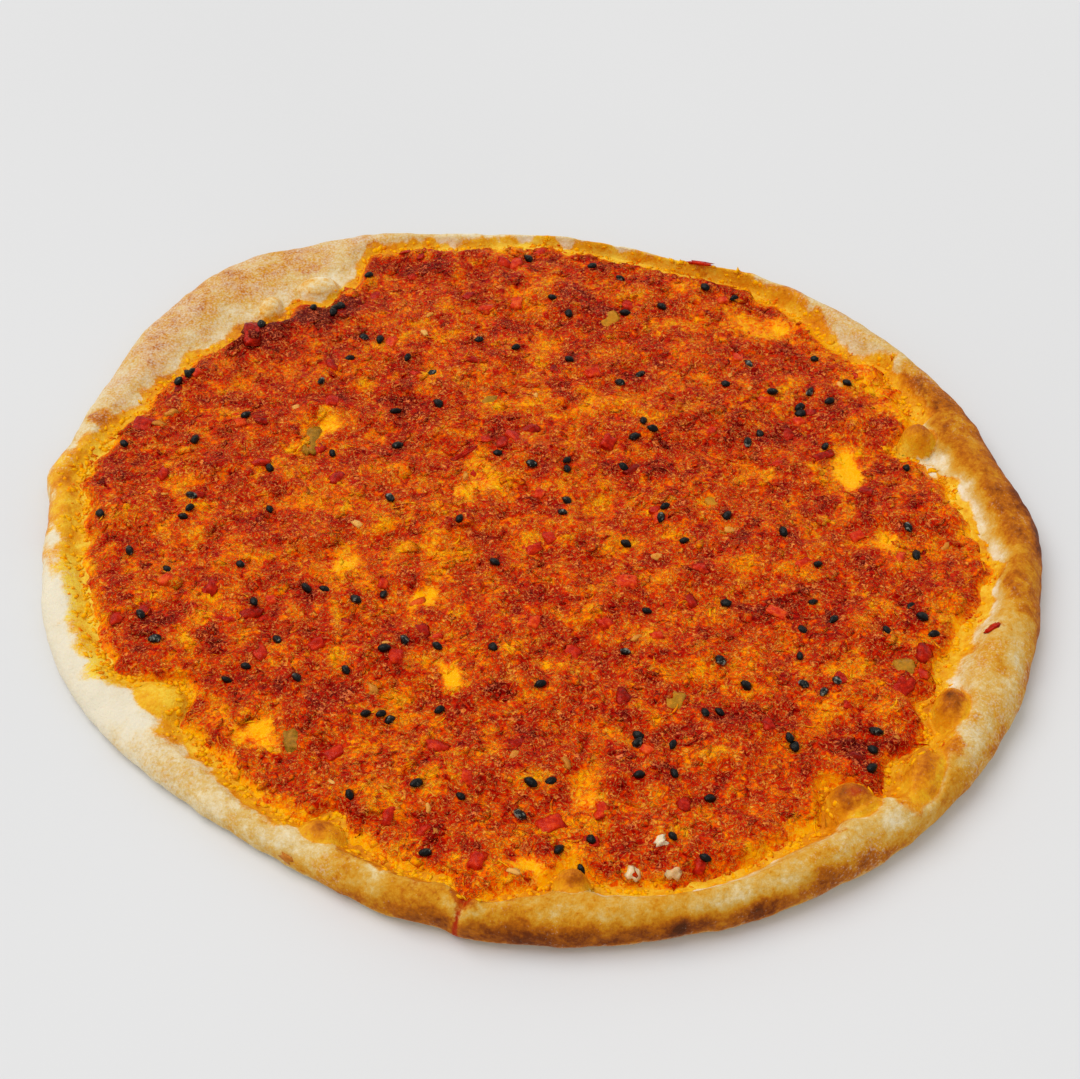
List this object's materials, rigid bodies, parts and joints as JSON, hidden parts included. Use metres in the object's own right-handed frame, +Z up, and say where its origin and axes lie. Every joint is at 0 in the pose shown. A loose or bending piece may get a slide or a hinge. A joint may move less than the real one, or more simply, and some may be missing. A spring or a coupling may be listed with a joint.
{
  "type": "flatbread with red pepper spread",
  "caption": "Oval hand-stretched flatbread with a swollen baked rim, topped with a thin red pepper and nut spread and black seeds.",
  "frame": {"origin": "centre of the bounding box at the flat underside, which rests on the surface", "axes": "+Z up through the thin bread, -Y towards the viewer in the picture, +X to the picture's right"},
  "size_m": [0.225, 0.2122, 0.011],
  "materials": {
    "baked_dough": "matt, floury, browned in places",
    "pepper_paste": "moist and oily, grainy"
  },
  "bodies": {
    "root": {"flatbread": "baked_dough", "pepper_spread": "pepper_paste"}
  },
  "joints": []
}
